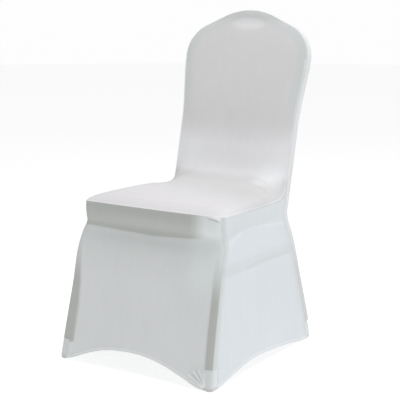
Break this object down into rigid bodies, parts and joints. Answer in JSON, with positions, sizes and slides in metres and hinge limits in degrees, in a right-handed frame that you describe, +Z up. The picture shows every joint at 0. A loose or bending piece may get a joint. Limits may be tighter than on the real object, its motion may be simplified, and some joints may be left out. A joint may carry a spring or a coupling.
{
  "type": "chair cover",
  "caption": "Fitted stretch cover for a banquet chair: seat and crowned back in one panel, flared skirt with arched hems, and a closed cup for each foot.",
  "frame": {"origin": "on the floor, under the middle of the bounding box of the cover", "axes": "+Z up, -Y towards the front of the seat, +X to the right when the chair is seen from the front"},
  "size_m": [0.4928, 0.6188, 0.9295],
  "materials": {
    "top_panel": "white stretch knit, smooth and matt",
    "front_skirt": "white stretch knit, smooth and matt",
    "side_skirt_right": "white stretch knit, smooth and matt",
    "side_skirt_left": "white stretch knit, smooth and matt",
    "back_panel": "white stretch knit, smooth and matt",
    "foot_pocket_front_right": "white stretch knit, smooth and matt, double cloth",
    "foot_pocket_front_left": "white stretch knit, smooth and matt, double cloth",
    "foot_pocket_rear_right": "white stretch knit, smooth and matt, double cloth",
    "foot_pocket_rear_left": "white stretch knit, smooth and matt, double cloth"
  },
  "bodies": {
    "root": {"top_panel": "top_panel", "front_skirt": "front_skirt", "side_skirt_right": "side_skirt_right", "side_skirt_left": "side_skirt_left", "back_panel": "back_panel", "foot_pocket_front_right": "foot_pocket_front_right", "foot_pocket_front_left": "foot_pocket_front_left", "foot_pocket_rear_right": "foot_pocket_rear_right", "foot_pocket_rear_left": "foot_pocket_rear_left"}
  },
  "joints": []
}
